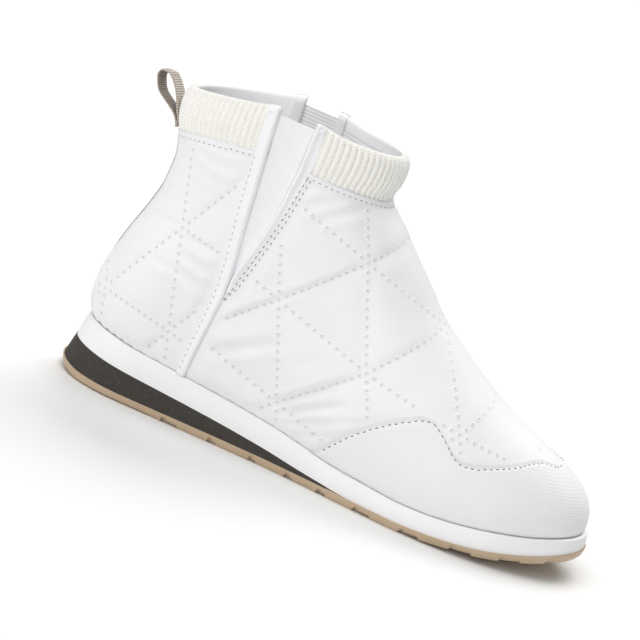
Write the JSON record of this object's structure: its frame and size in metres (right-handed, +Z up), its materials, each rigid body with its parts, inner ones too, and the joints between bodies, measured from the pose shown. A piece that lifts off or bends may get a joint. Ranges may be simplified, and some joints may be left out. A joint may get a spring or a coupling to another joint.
{
  "type": "winter ankle boot",
  "caption": "Quilted pull-on winter ankle boot with elastic side gores, ribbed knit collar, toe guard, back pull loop and a lugged rubber sole under a foam wedge.",
  "frame": {"origin": "middle of the whole boot's box, on the floor under the sole", "axes": "+X towards the toe, +Y to the wearer's left (the inner side of this right boot), +Z up"},
  "size_m": [0.2756, 0.095, 0.161],
  "materials": {
    "gum_rubber": "matte gum rubber",
    "black_foam": "matt speckled dark foam",
    "white_foam": "smooth matt white foam",
    "insole_cloth": "soft grey-white lining cloth",
    "white_nylon": "smooth padded white nylon, dot quilted",
    "guard_weave": "fine matt weave",
    "elastic": "flat woven elastic",
    "rib_knit": "ivory rib knit",
    "binding_tape": "white twill tape",
    "webbing": "taupe ribbed webbing"
  },
  "bodies": {
    "root": {"outsole": "gum_rubber", "heel_wedge": "black_foam", "midsole": "white_foam", "insole": "insole_cloth", "upper": "white_nylon", "toe_guard": "guard_weave", "gore_lateral": "elastic", "gore_medial": "elastic", "cuff_front": "rib_knit", "cuff_back": "rib_knit", "binding_rear_lateral": "binding_tape", "binding_rear_medial": "binding_tape", "binding_front_lateral": "binding_tape", "binding_front_medial": "binding_tape", "pull_loop": "webbing", "back_tape": "webbing"}
  },
  "joints": []
}
